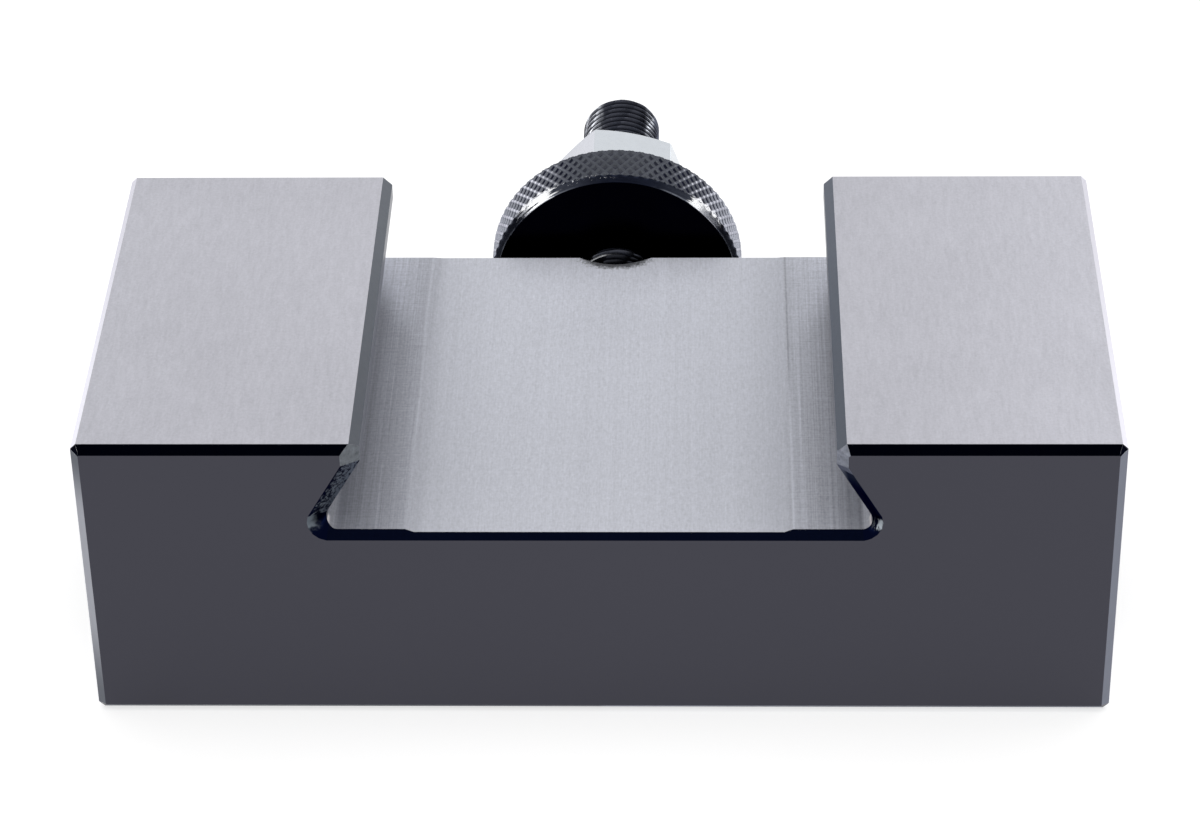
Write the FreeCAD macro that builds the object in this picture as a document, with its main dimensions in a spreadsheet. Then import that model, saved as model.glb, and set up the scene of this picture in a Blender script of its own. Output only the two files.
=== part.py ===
import FreeCAD, Part
import os
import Sketcher

# Quick change tool holder with its height stud and four clamping screws, in millimetres.
# It lies on its outer face, as for a photograph of its dovetail side: +Z is up, out of the dovetail
# groove, +Y runs from the lower end of the block along the stud, and +X runs across both jaws.
# The origin is under the middle of the whole object, on the plane that it lies on.

SIZES = [
    ("block_width", 114.3, "across both jaws of the dovetail, 4.5 in"),
    ("lower_jaw", 14.0, "steel below the tool slot, along Y"),
    ("slot_height", 20.6, "room for a 3/4 in shank, along Y"),
    ("upper_jaw", 22.55, "steel above the tool slot, which the screws go through"),
    ("block_thickness", 36.4, "outer face to dovetail face, along Z"),
    ("web", 7.27, "steel between the tool slot and the dovetail floor"),
    ("slot_corner", 0.8, "radius in the two inner corners of the tool slot"),
    ("slot_bevel", 0.5, "bevel on both edges of the mouth of the tool slot"),
    ("mouth_width", 53.8, "dovetail mouth, between the edges of the jaw faces"),
    ("mouth_chamfer", 1.05, "bevel along each edge of the mouth"),
    ("land", 1.81, "upright land under the mouth chamfer"),
    ("flank_angle", 60.0, "dovetail flank from the floor, degrees"),
    ("strip_depth", 11.4, "jaw face to the strips beside the dovetail floor"),
    ("floor_step", 0.23, "how much deeper the middle of the floor is than its strips"),
    ("floor_width", 42.6, "width of the deeper middle of the floor"),
    ("root_radius", 1.2, "radius where flank and floor strip meet"),
    ("end_chamfer", 0.92, "bevel round both end faces of the block"),
    ("left_lead", 2.0, "wider bevel at the lower end of the left dovetail flank"),
    ("right_lead", 1.25, "wider bevel at the lower end of the right dovetail flank"),
    ("lead_radius", 2.4, "rim of both wider bevels round the dovetail root, as short flats"),
    ("side_chamfer", 0.63, "bevel along the sides of the dovetail face and outer face"),
    ("stud_diameter", 9.8, "M10 stud over its thread crests"),
    ("stud_offset", 0.8, "stud axis right of the middle of the block"),
    ("floor_wall", 0.67, "steel left between the stud and the dovetail floor"),
    ("stud_back_wall", 7.55, "steel left between the foot of the stud and the tool slot"),
    ("stud_chamfer", 0.8, "bevel on both ends of the stud"),
    ("stud_sink_radius", 7.75, "countersink round the stud at the end of the block"),
    ("drill_room", 0.6, "room under the foot of the stud"),
    ("drill_angle", 59.0, "half the point angle of every drill point, degrees"),
    ("thread_gap", 0.05, "clearance on the radius between a thread and its hole"),
    ("nut_gap", 2.0, "knurled nut to the end of the block"),
    ("flange_diameter", 30.8, "knurled flange over its crests"),
    ("flange_length", 7.1, "knurled flange along the stud"),
    ("flange_chamfer", 0.7, "bevel on both rims of the flange"),
    ("hub_diameter", 19.0, "plain hub behind the flange"),
    ("hub_length", 7.05, "hub along the stud"),
    ("hub_chamfer", 0.6, "bevel on the end of the hub"),
    ("bore_chamfer", 0.5, "bevel at the mouths of both nuts"),
    ("lock_flats", 17.0, "hexagon nut across its flats"),
    ("lock_length", 8.4, "hexagon nut along the stud"),
    ("lock_turn", 12.3, "turn of the hexagon nut about the stud, degrees"),
    ("lock_crown", 30.0, "slope of the bevelled corners of the hexagon nut, degrees"),
    ("lock_face_inset", 0.425, "rim of the flat ends of the hexagon nut inside its flats"),
    ("stud_beyond", 15.1, "stud beyond the hexagon nut"),
    ("screw_diameter", 12.0, "M12 clamping screw over its thread crests"),
    ("screw_length", 30.0, "clamping screw, end to end"),
    ("screw_to_flange", 1.2, "clearance between an inner screw and the flange"),
    ("screw_chamfer", 1.2, "bevel on both ends of a clamping screw"),
    ("screw_hole_chamfer", 0.9, "bevel at the mouth of a screw hole"),
    ("socket_flats", 6.0, "hexagon socket of a clamping screw across its flats"),
    ("socket_depth", 6.0, "hexagon socket, without its drill point"),
]

# Places that follow from the sizes, as expressions on the sheet.
BLOCK_DEPTH = "(Sizes.lower_jaw + Sizes.slot_height + Sizes.upper_jaw)"
SLOT_DEPTH = "(Sizes.block_thickness - Sizes.strip_depth - Sizes.floor_step - Sizes.web)"
LAND = "(Sizes.mouth_width / 2 - Sizes.mouth_chamfer)"
LAND_FOOT = "(Sizes.mouth_chamfer + Sizes.land)"
ROOT = f"({LAND} + (Sizes.strip_depth - {LAND_FOOT}) / tan(Sizes.flank_angle))"
STUD_RADIUS = "(Sizes.stud_diameter / 2)"
STUD_HOLE_RADIUS = f"({STUD_RADIUS} + Sizes.thread_gap)"
STUD_HEIGHT = (
    "(Sizes.block_thickness - Sizes.strip_depth - Sizes.floor_step"
    f" - Sizes.floor_wall - {STUD_RADIUS})"
)
STUD_IN_BLOCK = "(Sizes.upper_jaw - Sizes.stud_back_wall)"
NUT_LENGTH = "(Sizes.flange_length + Sizes.hub_length)"
STUD_STAND = f"(Sizes.nut_gap + {NUT_LENGTH} + Sizes.lock_length + Sizes.stud_beyond)"
STUD_LENGTH = f"({STUD_IN_BLOCK} + {STUD_STAND})"
FRONT_END = f"(-({BLOCK_DEPTH} + {STUD_STAND}) / 2)"
FAR_END = f"({FRONT_END} + {BLOCK_DEPTH})"
SCREW_RADIUS = "(Sizes.screw_diameter / 2)"
SCREW_HOLE_RADIUS = f"({SCREW_RADIUS} + Sizes.thread_gap)"
SCREW_HEIGHT = f"({SLOT_DEPTH} / 2)"
SCREW_FOOT = f"({FAR_END} - Sizes.upper_jaw)"
SCREW_REACH = f"(Sizes.flange_diameter / 2 + {SCREW_RADIUS} + Sizes.screw_to_flange)"
INNER_SCREW = (
    f"(Sizes.stud_offset + sqrt({SCREW_REACH} ^ 2 - ({STUD_HEIGHT} - {SCREW_HEIGHT}) ^ 2))"
)
OUTER_SCREW = f"(({INNER_SCREW} + {SCREW_RADIUS} + Sizes.block_width / 2) / 2)"
SCREW_PLACES = [f"-{OUTER_SCREW}", f"-{INNER_SCREW}", INNER_SCREW, OUTER_SCREW]

ROOT_FLATS = 6

BEYOND = "1"
FLAT = 1e-6
OUT = "parts"

doc = FreeCAD.newDocument("tool_holder")
sheet = doc.addObject("Spreadsheet::Sheet", "Sizes")
for row, (alias, value, note) in enumerate(SIZES, start=1):
    sheet.set(f"A{row}", alias)
    sheet.set(f"B{row}", str(value))
    sheet.set(f"C{row}", note)
    sheet.setAlias(f"B{row}", alias)
doc.recompute()


def size(expression):
    """The number that an expression on the sheet gives."""
    return float(sheet.evalExpression(expression))


def new_body(label, x="0", y=FRONT_END, z="0"):
    """An empty body for one piece, placed by three expressions."""
    body = doc.addObject("PartDesign::Body", label)
    body.Label = label
    for axis, place in zip("xyz", (x, y, z)):
        body.setExpression(f"Placement.Base.{axis}", place)
    return body


def new_sketch(body, name, plane, offset=("0", "0", "0")):
    """A sketch on one of the body's own origin planes, moved in that plane's axes."""
    sketch = body.newObject("Sketcher::SketchObject", name)
    origin = next(f for f in body.Origin.OriginFeatures if f.Role == plane)
    sketch.AttachmentSupport = [(origin, "")]
    sketch.MapMode = "FlatFace"
    for axis, place in zip("xyz", offset):
        if place != "0":
            sketch.setExpression(f"AttachmentOffset.Base.{axis}", place)
    return sketch


def tie(sketch, line, axis, place):
    """Ties a coordinate of a line's start to an expression, or to the sketch axis where it is 0."""
    if place == "0":
        upright = -2
        level = -1
        through = upright if axis == "x" else level
        sketch.addConstraint(Sketcher.Constraint("PointOnObject", line, 1, through))
        return
    kind = "DistanceX" if axis == "x" else "DistanceY"
    index = sketch.addConstraint(Sketcher.Constraint(kind, -1, 1, line, 1, size(place)))
    sketch.setExpression(f"Constraints[{index}]", place)


def outline(body, name, plane, corners, offset=("0", "0", "0")):
    """A closed sketch of straight lines whose corners are pairs of expressions."""
    sketch = new_sketch(body, name, plane, offset)
    points = [FreeCAD.Vector(size(x), size(y), 0) for x, y in corners]
    count = len(points)
    for k in range(count):
        sketch.addGeometry(Part.LineSegment(points[k], points[(k + 1) % count]))
    for k in range(count):
        sketch.addConstraint(Sketcher.Constraint("Coincident", k, 2, (k + 1) % count, 1))
    for k, (x, y) in enumerate(corners):
        tie(sketch, k, "x", x)
        tie(sketch, k, "y", y)
    return sketch


def grow(body, sketch, length):
    """Pads a sketch on the XZ plane by a length towards +Y."""
    feature = body.newObject("PartDesign::Pad", f"{sketch.Name}_pad")
    feature.Profile = sketch
    feature.Reversed = True
    feature.setExpression("Length", length)
    doc.recompute()


def cut_across(body, sketch, length):
    """Cuts a sketch to both sides of its own plane, over a whole length."""
    feature = body.newObject("PartDesign::Pocket", f"{sketch.Name}_cut")
    feature.Profile = sketch
    feature.Midplane = True
    feature.setExpression("Length", length)
    doc.recompute()


def turn(body, name, corners, cut=False, offset=("0", "0", "0")):
    """Turns a half section, radius against Y, round the sketch's own Y axis."""
    sketch = outline(body, name, "XY_Plane", corners, offset)
    kind = "PartDesign::Groove" if cut else "PartDesign::Revolution"
    feature = body.newObject(kind, f"{name}_turned")
    feature.Profile = sketch
    feature.ReferenceAxis = (sketch, ["V_Axis"])
    feature.Angle = 360
    doc.recompute()


def edges_where(feature, test):
    """Names of the edges of a feature's shape whose two ends and middle pass a test."""
    found = []
    for k, edge in enumerate(feature.Shape.Edges, start=1):
        middle = edge.valueAt((edge.FirstParameter + edge.LastParameter) / 2)
        if all(test(p) for p in [v.Point for v in edge.Vertexes] + [middle]):
            found.append(f"Edge{k}")
    return found


def dress(body, kind, name, test, reach):
    """A chamfer or fillet on the edges of the body's tip that pass a test."""
    base = body.Tip
    feature = body.newObject(f"PartDesign::{kind}", name)
    feature.Base = (base, edges_where(base, test))
    feature.setExpression("Radius" if kind == "Fillet" else "Size", reach)
    doc.recompute()


def at(value, place):
    """Whether a coordinate lies at a place."""
    return abs(value - place) < FLAT


def bar_half(sign):
    """Half of the block's end outline, from the outer face up round the jaw into the groove."""
    side = f"{sign}Sizes.block_width / 2"
    face_end = f"{sign}(Sizes.block_width / 2 - Sizes.side_chamfer)"
    face = "Sizes.block_thickness"
    return [
        (face_end, "0"),
        (side, "Sizes.side_chamfer"),
        (side, f"{face} - Sizes.side_chamfer"),
        (face_end, face),
        (f"{sign}Sizes.mouth_width / 2", face),
        (f"{sign}{LAND}", f"{face} - Sizes.mouth_chamfer"),
        (f"{sign}{LAND}", f"{face} - {LAND_FOOT}"),
        (f"{sign}{ROOT}", f"{face} - Sizes.strip_depth"),
    ]


def make_block():
    """The block: a grooved bar with bevelled edges, a tool slot and five tapped holes."""
    body = new_body("holder_body")
    bar = outline(body, "bar", "XZ_Plane", bar_half("") + bar_half("-")[::-1])
    grow(body, bar, BLOCK_DEPTH)
    root = size(ROOT)
    level = size("Sizes.block_thickness - Sizes.strip_depth")
    far = size(BLOCK_DEPTH)

    def in_root(p):
        return at(abs(p.x), root) and at(p.z, level)

    dress(body, "Fillet", "root_fillet", in_root, "Sizes.root_radius")
    dress(body, "Chamfer", "front_bevel", lambda p: at(p.y, 0), "Sizes.end_chamfer")
    dress(body, "Chamfer", "far_bevel", lambda p: at(p.y, far), "Sizes.end_chamfer")
    cut_lead(body, "left_lead", "-", "Sizes.left_lead")
    cut_lead(body, "right_lead", "", "Sizes.right_lead")
    cut_floor(body)
    cut_tool_slot(body)
    cut_stud_hole(body)
    for number, place in enumerate(SCREW_PLACES, start=1):
        cut_screw_hole(body, number, place)
    return body


def cut_lead(body, name, sign, lead):
    """A 45 degree bevel round one land and flank at the lower end, running out at both ends."""
    face = "Sizes.block_thickness"
    more = f"({lead} - Sizes.end_chamfer)"
    foot = f"({face} - Sizes.strip_depth + {more})"
    bend = f"(Sizes.lead_radius - {lead})"
    height = f"({foot} + {bend})"
    flank = f"({face} - {LAND_FOOT} - {height}) / tan(Sizes.flank_angle)"
    centre = f"({LAND} + {flank} - {bend} / sin(Sizes.flank_angle))"
    arc = "(180 - Sizes.flank_angle)"
    reach = f"{bend} / cos({arc} / {2 * ROOT_FLATS})"
    inside = f"{sign}Sizes.floor_width / 2"
    top = f"2 * {lead}"
    corners = [(inside, foot)]
    for k in range(ROOT_FLATS):
        angle = f"({arc} * {2 * k + 1} / {2 * ROOT_FLATS} - 90)"
        corners.append((f"{sign}({centre} + {reach} * cos({angle}))", f"{height} + {reach} * sin({angle})"))
    corners += [
        (f"{sign}{LAND}", f"{face} - {LAND_FOOT}"),
        (f"{sign}{LAND}", f"{face} - Sizes.mouth_chamfer + sqrt(2) * {more}"),
        (f"{sign}({LAND} + Sizes.mouth_chamfer + {top} - sqrt(2) * {more})", f"{face} + {top}"),
        (inside, f"{face} + {top}"),
    ]
    feature = body.newObject("PartDesign::Pocket", f"{name}_cut")
    feature.Profile = outline(body, name, "XZ_Plane", corners, ("0", "0", f"-{lead}"))
    feature.Reversed = True
    feature.setExpression("Length", lead)
    feature.TaperAngle = 45
    doc.recompute()


def cut_floor(body):
    """The middle of the dovetail floor, milled a little deeper than the strips beside it."""
    half = "Sizes.floor_width / 2"
    low = "Sizes.block_thickness - Sizes.strip_depth - Sizes.floor_step"
    high = "Sizes.block_thickness - Sizes.strip_depth + Sizes.floor_step"
    corners = [(f"-{half}", low), (half, low), (half, high), (f"-{half}", high)]
    sketch = outline(body, "floor_pass", "XZ_Plane", corners)
    cut_across(body, sketch, f"2 * {BLOCK_DEPTH} + {BEYOND}")


def cut_tool_slot(body):
    """The slot for the tool shank, open to the outer face and to both sides."""
    near = "Sizes.lower_jaw"
    far = "(Sizes.lower_jaw + Sizes.slot_height)"
    corners = [
        (f"{near} - Sizes.slot_bevel", f"-{BEYOND}"),
        (f"{far} + Sizes.slot_bevel", f"-{BEYOND}"),
        (f"{far} + Sizes.slot_bevel", "0"),
        (far, "Sizes.slot_bevel"),
        (far, SLOT_DEPTH),
        (near, SLOT_DEPTH),
        (near, "Sizes.slot_bevel"),
        (f"{near} - Sizes.slot_bevel", "0"),
    ]
    sketch = outline(body, "tool_slot", "YZ_Plane", corners)
    cut_across(body, sketch, f"Sizes.block_width + {BEYOND}")
    level = size(SLOT_DEPTH)
    walls = [size(near), size(far)]

    def in_corner(p):
        return at(p.z, level) and any(at(p.y, wall) for wall in walls)

    dress(body, "Fillet", "slot_corner_fillet", in_corner, "Sizes.slot_corner")


def cut_stud_hole(body):
    """The blind tapped hole for the stud, countersunk at the end of the block."""
    foot = f"-({STUD_IN_BLOCK} + Sizes.drill_room)"
    corners = [
        ("0", BEYOND),
        (f"Sizes.stud_sink_radius + {BEYOND}", BEYOND),
        (STUD_HOLE_RADIUS, f"{STUD_HOLE_RADIUS} - Sizes.stud_sink_radius"),
        (STUD_HOLE_RADIUS, foot),
        ("0", f"{foot} - {STUD_HOLE_RADIUS} / tan(Sizes.drill_angle)"),
    ]
    turn(body, "stud_hole", corners, True, ("Sizes.stud_offset", BLOCK_DEPTH, STUD_HEIGHT))


def cut_screw_hole(body, number, place):
    """One tapped hole through the upper jaw into the tool slot, bevelled at its mouth."""
    corners = [
        ("0", BEYOND),
        (f"{SCREW_HOLE_RADIUS} + Sizes.screw_hole_chamfer + {BEYOND}", BEYOND),
        (SCREW_HOLE_RADIUS, "-Sizes.screw_hole_chamfer"),
        (SCREW_HOLE_RADIUS, f"-Sizes.upper_jaw - {BEYOND}"),
        ("0", f"-Sizes.upper_jaw - {BEYOND}"),
    ]
    turn(body, f"screw_hole_{number}", corners, True, (place, BLOCK_DEPTH, SCREW_HEIGHT))


def rod_section(radius, length, bevel):
    """Half section of a round rod with a bevel on both ends, from Y 0 upwards."""
    neck = f"{radius} - {bevel}"
    return [
        ("0", "0"),
        (neck, "0"),
        (radius, bevel),
        (radius, f"{length} - {bevel}"),
        (neck, length),
        ("0", length),
    ]


def make_stud():
    """The height stud: a headless threaded rod, drawn at its thread crests."""
    body = new_body("height_stud", "Sizes.stud_offset", f"{FAR_END} - {STUD_IN_BLOCK}", STUD_HEIGHT)
    turn(body, "stud_section", rod_section(STUD_RADIUS, STUD_LENGTH, "Sizes.stud_chamfer"))
    return body


def make_knurled_nut():
    """The knurled height nut: a wide flange and a plain hub round one threaded bore."""
    body = new_body("knurled_nut", "Sizes.stud_offset", f"{FAR_END} + Sizes.nut_gap", STUD_HEIGHT)
    rim = "(Sizes.flange_diameter / 2)"
    hub = "(Sizes.hub_diameter / 2)"
    mouth = f"{STUD_HOLE_RADIUS} + Sizes.bore_chamfer"
    corners = [
        (mouth, "0"),
        (f"{rim} - Sizes.flange_chamfer", "0"),
        (rim, "Sizes.flange_chamfer"),
        (rim, "Sizes.flange_length - Sizes.flange_chamfer"),
        (f"{rim} - Sizes.flange_chamfer", "Sizes.flange_length"),
        (hub, "Sizes.flange_length"),
        (hub, f"{NUT_LENGTH} - Sizes.hub_chamfer"),
        (f"{hub} - Sizes.hub_chamfer", NUT_LENGTH),
        (mouth, NUT_LENGTH),
        (STUD_HOLE_RADIUS, f"{NUT_LENGTH} - Sizes.bore_chamfer"),
        (STUD_HOLE_RADIUS, "Sizes.bore_chamfer"),
    ]
    turn(body, "nut_section", corners)
    return body


def hexagon(flats, first):
    """Corners of a hexagon about the sketch's origin, from its flats and its first corner's turn."""
    turns = [f"({first} + {60 * k})" for k in range(6)]
    return [(f"{flats} / sqrt(3) * sin{a}", f"{flats} / sqrt(3) * cos{a}") for a in turns]


def make_lock_nut():
    """The hexagon lock nut, jammed on the hub, its corners bevelled on both ends."""
    foot = f"{FAR_END} + Sizes.nut_gap + {NUT_LENGTH}"
    body = new_body("lock_nut", "Sizes.stud_offset", foot, STUD_HEIGHT)
    corners = hexagon("Sizes.lock_flats", "30 + Sizes.lock_turn")
    grow(body, outline(body, "hexagon_bar", "XZ_Plane", corners), "Sizes.lock_length")
    mouth = f"({STUD_HOLE_RADIUS} + Sizes.bore_chamfer)"
    bore = [
        ("0", f"-{BEYOND}"),
        (f"{mouth} + {BEYOND}", f"-{BEYOND}"),
        (STUD_HOLE_RADIUS, "Sizes.bore_chamfer"),
        (STUD_HOLE_RADIUS, "Sizes.lock_length - Sizes.bore_chamfer"),
        (f"{mouth} + {BEYOND}", f"Sizes.lock_length + {BEYOND}"),
        ("0", f"Sizes.lock_length + {BEYOND}"),
    ]
    turn(body, "lock_bore", bore, True)
    face = "(Sizes.lock_flats / 2 - Sizes.lock_face_inset)"
    spread = "Sizes.lock_flats"
    fall = f"(({spread} - {face}) * tan(Sizes.lock_crown))"
    near_crown = [(face, "0"), (spread, fall), (spread, f"-{BEYOND}"), (face, f"-{BEYOND}")]
    end = "Sizes.lock_length"
    far_crown = [
        (face, end),
        (spread, f"{end} - {fall}"),
        (spread, f"{end} + {BEYOND}"),
        (face, f"{end} + {BEYOND}"),
    ]
    turn(body, "near_crown", near_crown, True)
    turn(body, "far_crown", far_crown, True)
    return body


def make_set_screw(number, place):
    """One clamping screw: a headless threaded rod with a hexagon socket in its outer end."""
    body = new_body(f"set_screw_{number}", place, SCREW_FOOT, SCREW_HEIGHT)
    rod = rod_section(SCREW_RADIUS, "Sizes.screw_length", "Sizes.screw_chamfer")
    turn(body, f"screw_section_{number}", rod)
    socket = outline(
        body,
        f"socket_{number}",
        "XZ_Plane",
        hexagon("Sizes.socket_flats", "30"),
        ("0", "0", "-Sizes.screw_length"),
    )
    feature = body.newObject("PartDesign::Pocket", f"socket_cut_{number}")
    feature.Profile = socket
    feature.Reversed = True
    feature.setExpression("Length", "Sizes.socket_depth")
    doc.recompute()
    reach = "Sizes.socket_flats / 2"
    floor = "Sizes.screw_length - Sizes.socket_depth"
    point = [
        ("0", f"{floor} + {BEYOND}"),
        (reach, f"{floor} + {BEYOND}"),
        (reach, floor),
        ("0", f"{floor} - {reach} / tan(Sizes.drill_angle)"),
    ]
    turn(body, f"drill_point_{number}", point, True)
    return body


pieces = [make_block(), make_stud(), make_knurled_nut(), make_lock_nut()]
pieces += [make_set_screw(number, place) for number, place in enumerate(SCREW_PLACES, start=1)]
doc.recompute()

for thing in doc.Objects:
    if "Invalid" in thing.State or "Error" in thing.State:
        raise RuntimeError(f"{thing.Name} failed: {thing.State}")
for piece in pieces:
    shape = piece.Shape
    if shape.isNull() or not shape.isValid() or len(shape.Solids) != 1:
        raise RuntimeError(f"{piece.Label} is not one valid solid")

os.makedirs(OUT, exist_ok=True)
for piece in pieces:
    piece.Shape.exportStep(os.path.join(OUT, f"{piece.Label}.step"))
    box = piece.Shape.BoundBox
    print(
        f"{piece.Label}: volume {piece.Shape.Volume:.1f}, "
        f"X {box.XMin:.2f} to {box.XMax:.2f}, Y {box.YMin:.2f} to {box.YMax:.2f}, "
        f"Z {box.ZMin:.2f} to {box.ZMax:.2f}"
    )
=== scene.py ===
"""A quick change tool holder: a dovetailed steel block for a square tool, with a knurled height nut and its
hexagon lock nut on a threaded stud, and four socket clamping screws. Blender puts its surfaces and finishes
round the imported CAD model. Lengths are written in millimetres and multiplied by mm where a mesh is made."""

import math

import bmesh
import bpy
import numpy as np
from mathutils import Matrix, Vector


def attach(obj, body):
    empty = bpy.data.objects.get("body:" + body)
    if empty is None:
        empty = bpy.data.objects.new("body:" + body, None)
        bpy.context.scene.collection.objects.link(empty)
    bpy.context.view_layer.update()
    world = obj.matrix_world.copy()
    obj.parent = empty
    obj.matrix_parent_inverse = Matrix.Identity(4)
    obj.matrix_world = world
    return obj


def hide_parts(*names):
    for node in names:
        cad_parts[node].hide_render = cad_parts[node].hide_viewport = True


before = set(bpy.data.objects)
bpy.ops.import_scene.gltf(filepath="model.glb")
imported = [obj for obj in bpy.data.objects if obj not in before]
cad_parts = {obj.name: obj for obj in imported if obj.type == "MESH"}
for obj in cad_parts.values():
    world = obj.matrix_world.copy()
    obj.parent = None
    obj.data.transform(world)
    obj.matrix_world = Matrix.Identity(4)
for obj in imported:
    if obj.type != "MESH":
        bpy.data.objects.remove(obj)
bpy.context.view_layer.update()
mm = 0.001
scene = bpy.context.scene


# Holder body: one block of hardened tool steel, milled, blackened all over and then surface ground on its
# working faces. The ends are painted dark and the bevels round them nearly black, a painted dark reflection,
# and a bright hairline, a painted highlight, runs where a ground face meets a dark one. It is a merged copy
# of the CAD solid with its edges broken.


class Wire:
    """A number on its way between the nodes of a graph: arithmetic on it adds Math nodes."""

    def __init__(self, graph, socket):
        self.graph = graph
        self.socket = socket

    def math(self, operation, *terms):
        return self.graph.node("ShaderNodeMath", {"operation": operation}, dict(enumerate(terms)))

    def __add__(self, other):
        return self.math("ADD", self, other)

    def __radd__(self, other):
        return self.math("ADD", other, self)

    def __sub__(self, other):
        return self.math("SUBTRACT", self, other)

    def __rsub__(self, other):
        return self.math("SUBTRACT", other, self)

    def __mul__(self, other):
        return self.math("MULTIPLY", self, other)

    def __rmul__(self, other):
        return self.math("MULTIPLY", other, self)

    def __truediv__(self, other):
        return self.math("DIVIDE", self, other)

    def __rtruediv__(self, other):
        return self.math("DIVIDE", other, self)

    def __pow__(self, other):
        return self.math("POWER", self, other)

    def __abs__(self):
        return self.math("ABSOLUTE", self)

    def ramp(self, low, high):
        """0 up to low, 1 from high on, and a smooth rise between them; low may be the higher one."""
        bounds = {"Value": self, "From Min": low, "From Max": high}
        return self.graph.node("ShaderNodeMapRange", {"interpolation_type": "SMOOTHSTEP"}, bounds)

    def from_whole(self):
        """The distance to the nearest whole number, 0 to 0.5."""
        return self.math("PINGPONG", self, 0.5)


class Graph:
    """The nodes of a material or of the world."""

    def __init__(self, tree):
        self.tree = tree

    def node(self, kind, settings=None, inputs=None, output=0):
        """Add a node, set its settings first, then give its sockets their values or links."""
        made = self.tree.nodes.new(kind)
        for key, value in (settings or {}).items():
            if key == "stops":
                for spot, (at, colour) in enumerate(value):
                    stop = made.color_ramp.elements[spot] if spot < 2 else made.color_ramp.elements.new(at)
                    stop.position = at
                    stop.color = colour
            else:
                setattr(made, key, value)
        for key, value in (inputs or {}).items():
            self.join(made.inputs[key], value)
        return Wire(self, made.outputs[output])

    def join(self, socket, value):
        if isinstance(value, Wire):
            self.tree.links.new(value.socket, socket)
        else:
            socket.default_value = value


class Finish(Graph):
    """One finish of the object: a Principled material."""

    def __init__(self, name, metallic=1.0, rough=0.35, specular=0.5):
        self.material = bpy.data.materials.new(name)
        self.material.use_nodes = True
        super().__init__(self.material.node_tree)
        self.shader = self.tree.nodes["Principled BSDF"]
        self.feed("Metallic", metallic)
        self.feed("Roughness", rough)
        self.feed("Specular IOR Level", specular)
        self.place = self.node("ShaderNodeTexCoord", output="Object")

    def feed(self, socket, value):
        self.join(self.shader.inputs[socket], value)

    def axes(self, letters="XYZ"):
        """The coordinates with these letters, in millimetres."""
        apart = {"Vector": self.place}
        return [self.node("ShaderNodeSeparateXYZ", {}, apart, letter) / mm for letter in letters]

    def around(self, axis_x, axis_z):
        """The distance from an axis along y, and the degrees round it: 0 above it, 90 on its right."""
        x, z = self.axes("XZ")
        across = x - axis_x
        up = z - axis_z
        angle = across.math("ARCTAN2", across, up) * (180.0 / math.pi)
        return (across * across + up * up) ** 0.5, angle

    def noise(self, per_mm, detail=2.0, rough=0.5):
        """Noise from 0 to 1 with so many waves a millimetre, along every axis or along x, y and z."""
        each = per_mm if isinstance(per_mm, tuple) else (per_mm, per_mm, per_mm)
        scale = [waves / mm for waves in each]
        place = self.node("ShaderNodeMapping", {}, {"Vector": self.place, "Scale": scale})
        return self.noise_at(place, detail, rough)

    def noise_at(self, place, detail, rough):
        """The same noise at a place that is already scaled."""
        look = {"Vector": place, "Scale": 1.0, "Detail": detail, "Roughness": rough}
        return self.node("ShaderNodeTexNoise", {}, look)

    def tint(self, colour, strength):
        """The colour times a number."""
        colour = colour if isinstance(colour, Wire) else colour[:3]
        return self.node("ShaderNodeVectorMath", {"operation": "SCALE"}, {0: colour, "Scale": strength})

    def mix(self, share, first, second):
        """The first colour at a share of 0, the second one at 1."""
        return self.node("ShaderNodeMix", {"data_type": "RGBA"}, {0: share, 6: first, 7: second}, 2)

    def bump(self, height, depth_mm):
        """A bump of the height times depth_mm."""
        sockets = {"Height": height, "Distance": depth_mm * mm, "Strength": 1.0}
        self.feed("Normal", self.node("ShaderNodeBump", {}, sockets))


def shade(red, green, blue):
    """A colour as a screen shows it, from 0 to 255, in the linear numbers that a shader takes."""
    parts = np.array([red, green, blue]) / 255.0
    linear = np.where(parts > 0.04045, ((parts + 0.055) / 1.055) ** 2.4, parts / 12.92)
    return (*(float(part) for part in linear), 1.0)


def ground(name, colour, lines, strength=0.05, rough=0.34, near=1.0, left=1.0, outer=0.0):
    """Surface ground steel. Scratches along one axis, wide ones and fine ones, a grain and a slow cloud tint
    the colour by 1 + strength * (1.5 wide + 1.5 fine + 2.5 grain + cloud - 3.25), and the scratches lift the
    surface a little. Painted shade and light: near and left say how much of the colour is left at the lower
    end and on the left of the block, outer how much is added on its far right."""
    finish = Finish(name, rough=rough)
    x, y = finish.axes("XY")
    wide = finish.noise(tuple(0.25 if axis == lines else 1.6 for axis in "xyz"), 3.0)
    fine = finish.noise(tuple(0.8 if axis == lines else 5.0 for axis in "xyz"), 2.0)
    cloud = finish.noise(0.06, 1.0)
    grain = finish.noise(3.0, 3.0, 0.7)
    both = wide * 1.5 + fine * 1.5 + grain * 2.5 + cloud - 3.25
    # Painted shade towards the lower end, painted light on the left and on the far right.
    level = (1.0 + y.ramp(0.0, -48.0) * (near - 1.0)) * (1.0 + x.ramp(10.0, -10.0) * (left - 1.0))
    level = level * (1.0 + x.ramp(20.0, 60.0) * outer)
    finish.feed("Base Color", finish.tint(colour, (1.0 + both * strength) * level))
    finish.feed("Roughness", rough + (fine - 0.5) * 0.12)
    finish.bump(wide * 0.6 + fine * 0.4, 0.006)
    return finish


def dull(name, colour, strength=0.03, rough=0.45, per_mm=3.0):
    """Blackened steel with an even, fine grain."""
    finish = Finish(name, rough=rough)
    grain = finish.noise(per_mm, 3.0)
    cloud = finish.noise(0.05, 2.0)
    finish.feed("Base Color", finish.tint(colour, 1.0 + (grain + cloud - 1.0) * strength))
    finish.feed("Roughness", rough + (grain - 0.5) * 0.1)
    finish.bump(grain, 0.004)
    return finish


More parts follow.
